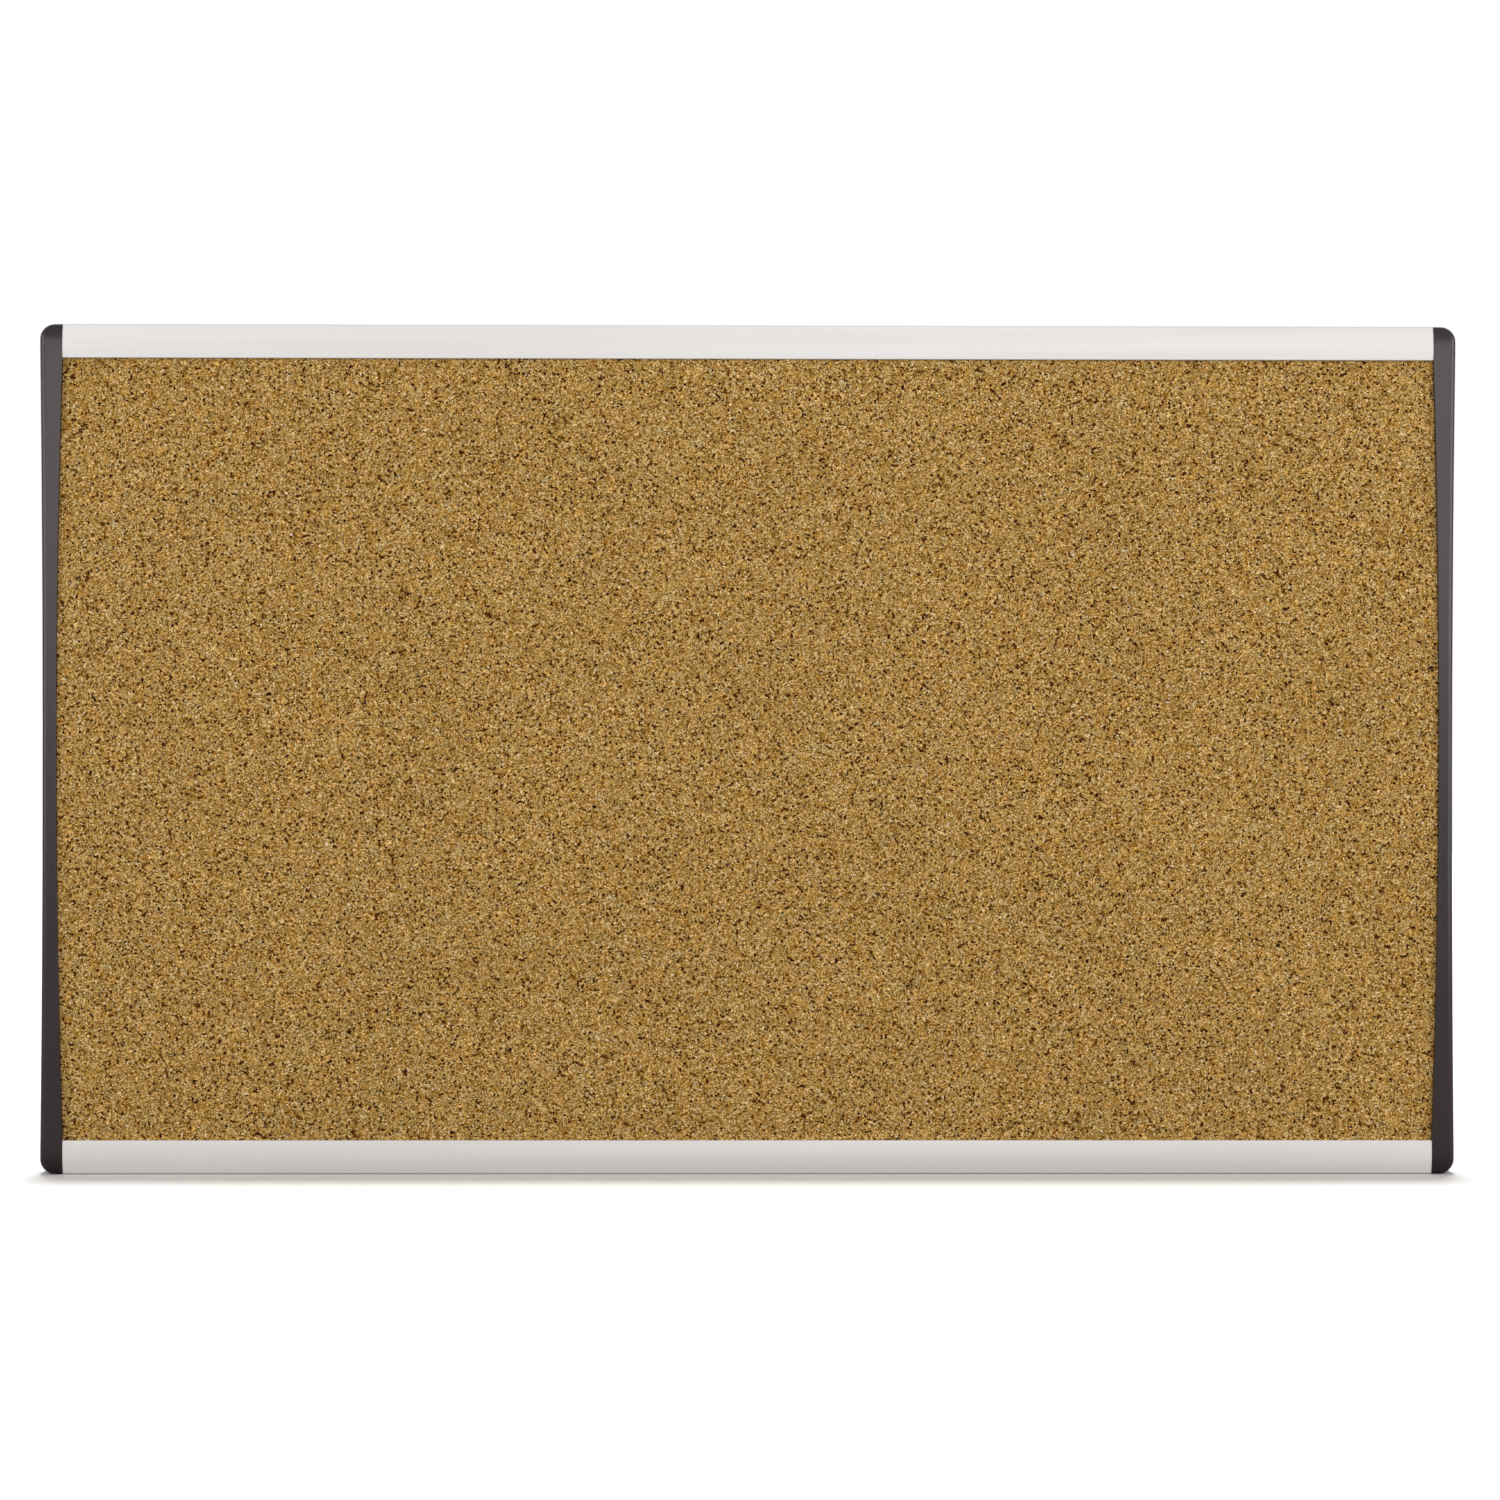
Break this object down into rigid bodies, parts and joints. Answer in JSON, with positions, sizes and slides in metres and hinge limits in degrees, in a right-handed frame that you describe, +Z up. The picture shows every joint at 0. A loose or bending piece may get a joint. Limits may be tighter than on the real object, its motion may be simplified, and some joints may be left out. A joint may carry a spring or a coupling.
{
  "type": "cork bulletin board",
  "caption": "Wall-hung cork bulletin board: a cork-faced fibreboard panel between aluminium rails and curved plastic end caps, with sliding keyhole hangers.",
  "frame": {"origin": "midway between the two hangers' keyhole entries, on the wall plane that the hangers' crowns and the bumpers touch", "axes": "+X along the board to its right as seen from the front, +Y out of its back into the wall, +Z up; the cork faces -Y"},
  "size_m": [0.762, 0.0205, 0.4572],
  "materials": {
    "cork": "natural granulated cork, matte, lightly sanded",
    "fibreboard": "soft pressed wood fibre, matte",
    "kraft_liner": "brown kraft paper, matte",
    "anodised_aluminium": "satin silver anodised extrusion",
    "graphite_plastic": "fine-textured moulded graphite grey",
    "zinc_plated_steel": "bright zinc plate",
    "bumper_rubber": "moulded black rubber"
  },
  "bodies": {
    "frame": {"backing_sheet": "kraft_liner", "fibreboard_core": "fibreboard", "cork_sheet": "cork", "top_rail": "anodised_aluminium", "bottom_rail": "anodised_aluminium", "right_end_cap": "graphite_plastic", "left_end_cap": "graphite_plastic", "cap_screw_top_right": "zinc_plated_steel", "cap_screw_bottom_right": "zinc_plated_steel", "cap_screw_top_left": "zinc_plated_steel", "cap_screw_bottom_left": "zinc_plated_steel", "left_bumper": "bumper_rubber", "right_bumper": "bumper_rubber"},
    "left_hanger": {"left_hanger": "zinc_plated_steel"},
    "right_hanger": {"right_hanger": "zinc_plated_steel"}
  },
  "joints": [
    {"name": "left_hanger_slide", "type": "slide", "parent": "frame", "child": "left_hanger", "axis": [1, 0, 0], "range_m": [-0.13, 0.17]},
    {"name": "right_hanger_slide", "type": "slide", "parent": "frame", "child": "right_hanger", "axis": [1, 0, 0], "range_m": [-0.17, 0.13]}
  ]
}
